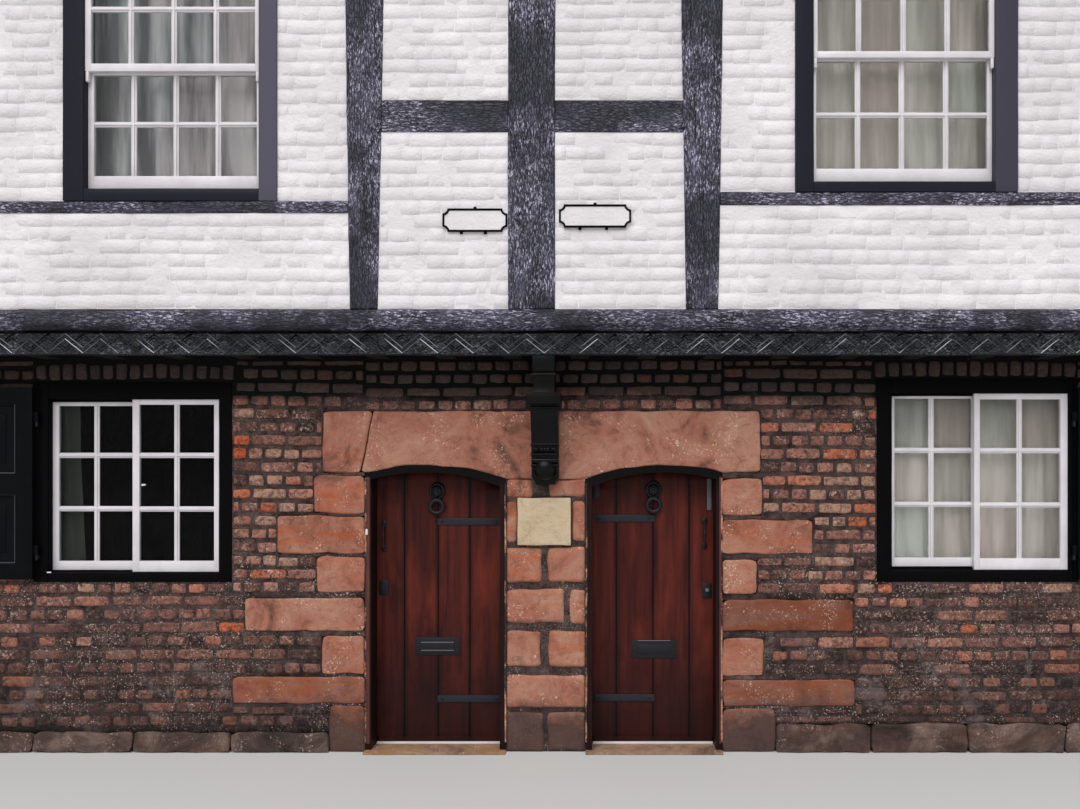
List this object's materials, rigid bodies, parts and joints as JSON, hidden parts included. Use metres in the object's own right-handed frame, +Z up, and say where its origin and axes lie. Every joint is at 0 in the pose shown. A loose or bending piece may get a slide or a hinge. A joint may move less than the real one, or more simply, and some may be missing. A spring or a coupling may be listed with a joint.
{
  "type": "half timbered house",
  "caption": "Mirrored half timbered cottages with a jettied painted upper storey on brick and sandstone, hinged doors and shutters, slated gables.",
  "frame": {"origin": "middle of the ground storey's footprint, at ground level, under the ground floor", "axes": "X along the street with +X to the right seen from the street, +Y into the house, +Z up"},
  "size_m": [8.8, 6.2, 8.4319],
  "materials": {
    "old_brick": "weathered hand-made brick in dark lime mortar",
    "red_sandstone": "worn dressed sandstone",
    "plinth_stone": "dark damp base stones",
    "step_stone": "worn yellow sandstone",
    "floor_stone": "stone flags",
    "bare_oak": "sawn oak, bare",
    "floor_boards": "wide oak boards",
    "black_timber": "hewn oak painted black, crazed",
    "painted_brick": "brick infill under many coats of white paint",
    "white_paint": "painted softwood",
    "window_glass": "thin old window glass",
    "net_curtain": "gathered net",
    "ridge_clay": "plain clay ridge tile",
    "pot_clay": "clay pot, sooty at the lip",
    "lead": "dull sheet lead",
    "roof_slate": "grey-purple slates",
    "door_frame": "dark stained hardwood",
    "stained_door": "dark red-brown stained planks",
    "black_iron": "black painted iron",
    "shutter_paint": "black gloss paint"
  },
  "bodies": {
    "root": {"front_wall_left": "old_brick", "front_wall_right": "old_brick", "front_wall_over_doors": "old_brick", "joist_infill": "old_brick", "back_wall": "old_brick", "party_wall_left": "old_brick", "party_wall_right": "old_brick", "left_jamb_stones": "red_sandstone", "right_jamb_stones": "red_sandstone", "centre_pier": "red_sandstone", "door_heads": "red_sandstone", "carved_bressumer": "black_timber", "sill_beam": "black_timber", "console_bracket": "black_timber", "front_posts": "black_timber", "front_rails": "black_timber", "front_gables": "black_timber", "back_frame": "black_timber", "bargeboards": "black_timber", "window_frames": "black_timber", "roof_left_outer": "roof_slate", "roof_left_inner": "roof_slate", "roof_right_inner": "roof_slate", "roof_right_outer": "roof_slate", "front_plinth": "plinth_stone", "doorsteps": "step_stone", "ground_floor": "floor_stone", "rear_lintel": "bare_oak", "floor_joists": "bare_oak", "roof_timbers": "bare_oak", "upper_floor": "floor_boards", "front_infill": "painted_brick", "back_infill": "painted_brick", "window_sashes": "white_paint", "back_windows": "white_paint", "window_glass": "window_glass", "curtains": "net_curtain", "ridge_tiles": "ridge_clay", "chimney_pots": "pot_clay", "valley_gutter": "lead", "door_frames": "door_frame", "shutter_pins": "black_iron"},
    "left_door": {"left_door": "stained_door", "left_door_ironwork": "black_iron"},
    "right_door": {"right_door": "stained_door", "right_door_ironwork": "black_iron"},
    "left_knocker_ring": {"left_knocker_ring": "black_iron"},
    "right_knocker_ring": {"right_knocker_ring": "black_iron"},
    "left_shutter": {"left_shutter": "shutter_paint"},
    "right_shutter": {"right_shutter": "shutter_paint"}
  },
  "joints": [
    {"name": "left_door_hinge", "type": "hinge", "parent": "root", "child": "left_door", "pos_m": [-0.279, -2.57, 0.8], "axis": [0, 0, -1], "range_deg": [0, 90]},
    {"name": "right_door_hinge", "type": "hinge", "parent": "root", "child": "right_door", "pos_m": [0.267, -2.57, 0.8], "axis": [0, 0, 1], "range_deg": [0, 90]},
    {"name": "left_shutter_hinge", "type": "hinge", "parent": "root", "child": "left_shutter", "pos_m": [-3.148, -2.8235, 1.6], "axis": [0, 0, 1], "range_deg": [0, 180]},
    {"name": "right_shutter_hinge", "type": "hinge", "parent": "root", "child": "right_shutter", "pos_m": [3.259, -2.8235, 1.6], "axis": [0, 0, -1], "range_deg": [0, 180]},
    {"name": "left_knocker_pivot", "type": "hinge", "parent": "left_door", "child": "left_knocker_ring", "pos_m": [-0.708, -2.653, 1.555], "axis": [-1, 0, 0], "range_deg": [0, 80]},
    {"name": "right_knocker_pivot", "type": "hinge", "parent": "right_door", "child": "right_knocker_ring", "pos_m": [0.67, -2.653, 1.565], "axis": [-1, 0, 0], "range_deg": [0, 80]}
  ]
}
